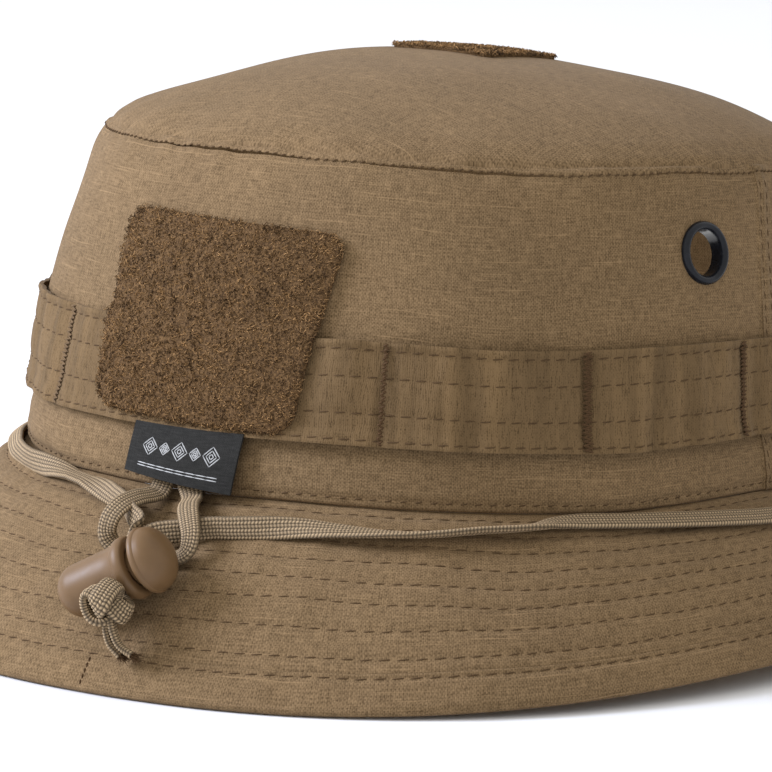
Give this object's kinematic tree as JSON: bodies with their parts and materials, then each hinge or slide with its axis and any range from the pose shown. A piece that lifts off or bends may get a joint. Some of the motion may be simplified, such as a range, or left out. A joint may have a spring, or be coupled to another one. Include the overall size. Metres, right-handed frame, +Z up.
{
  "type": "boonie hat",
  "caption": "Soft bucket-shaped field hat with a stitched sloping brim, slotted band, loop patches, vent eyelets and a drawcord with a cord lock at the back.",
  "frame": {"origin": "centre of the brim's footprint, on the surface that the brim's edge rests on", "axes": "+Z up through the crown, +Y towards the wearer's front, +X towards the wearer's right"},
  "size_m": [0.2518, 0.2904, 0.1318],
  "materials": {
    "ripstop": "coyote-brown cotton and polyester ripstop, matt",
    "thread": "brown sewing thread",
    "webbing": "flat braided khaki cord",
    "loop_pile": "brown loop pile of a hook-and-loop fastener",
    "woven_label": "charcoal woven label",
    "interlining": "stiff non-woven interlining",
    "black_metal": "black enamelled brass",
    "brown_plastic": "matt brown moulded plastic",
    "spring_steel": "drawn spring wire"
  },
  "bodies": {
    "hat": {"crown_top_panel": "ripstop", "crown_side_front": "ripstop", "crown_side_rear": "ripstop", "side_seam_tape_right": "ripstop", "side_seam_tape_left": "ripstop", "tip_seam_tape": "ripstop", "sweatband": "ripstop", "foliage_band": "ripstop", "bartack_01": "thread", "bartack_02": "thread", "bartack_03": "thread", "bartack_04": "thread", "bartack_05": "thread", "bartack_06": "thread", "bartack_07": "thread", "bartack_08": "thread", "bartack_09": "thread", "bartack_10": "thread", "bartack_11": "thread", "bartack_12": "thread", "loop_patch_rear": "loop_pile", "loop_patch_top": "loop_pile", "brim_upper": "ripstop", "brim_interlining": "interlining", "brim_lower": "ripstop", "brim_edge_binding": "ripstop", "eyelet_right_rear": "black_metal", "eyelet_right_front": "black_metal", "eyelet_left_front": "black_metal", "eyelet_left_rear": "black_metal", "eyelet_washer_right_rear": "black_metal", "eyelet_washer_right_front": "black_metal", "eyelet_washer_left_front": "black_metal", "eyelet_washer_left_rear": "black_metal", "drawcord": "webbing", "stopper_knot": "webbing", "cord_tail_left": "webbing", "cord_tail_right": "webbing", "keeper_loop": "webbing"},
    "label": {"label": "woven_label"},
    "cord_lock": {"cord_lock_barrel": "brown_plastic", "cord_lock_spring": "spring_steel"},
    "plunger": {"cord_lock_plunger": "brown_plastic"}
  },
  "joints": [
    {"name": "label_flip", "type": "hinge", "parent": "hat", "child": "label", "pos_m": [0.003, -0.1018, 0.0544], "axis": [-1, 0, 0], "range_deg": [0, 75]},
    {"name": "cord_lock_slide", "type": "slide", "parent": "hat", "child": "cord_lock", "axis": [-0.3897, 0.8297, 0.3996], "range_m": [0, 0.0018]},
    {"name": "plunger_press", "type": "slide", "parent": "cord_lock", "child": "plunger", "axis": [-0.8704, -0.1901, -0.4542], "range_m": [0, 0.002], "stiffness_N_per_m": 300, "deforming": ["cord_lock_spring"]}
  ]
}
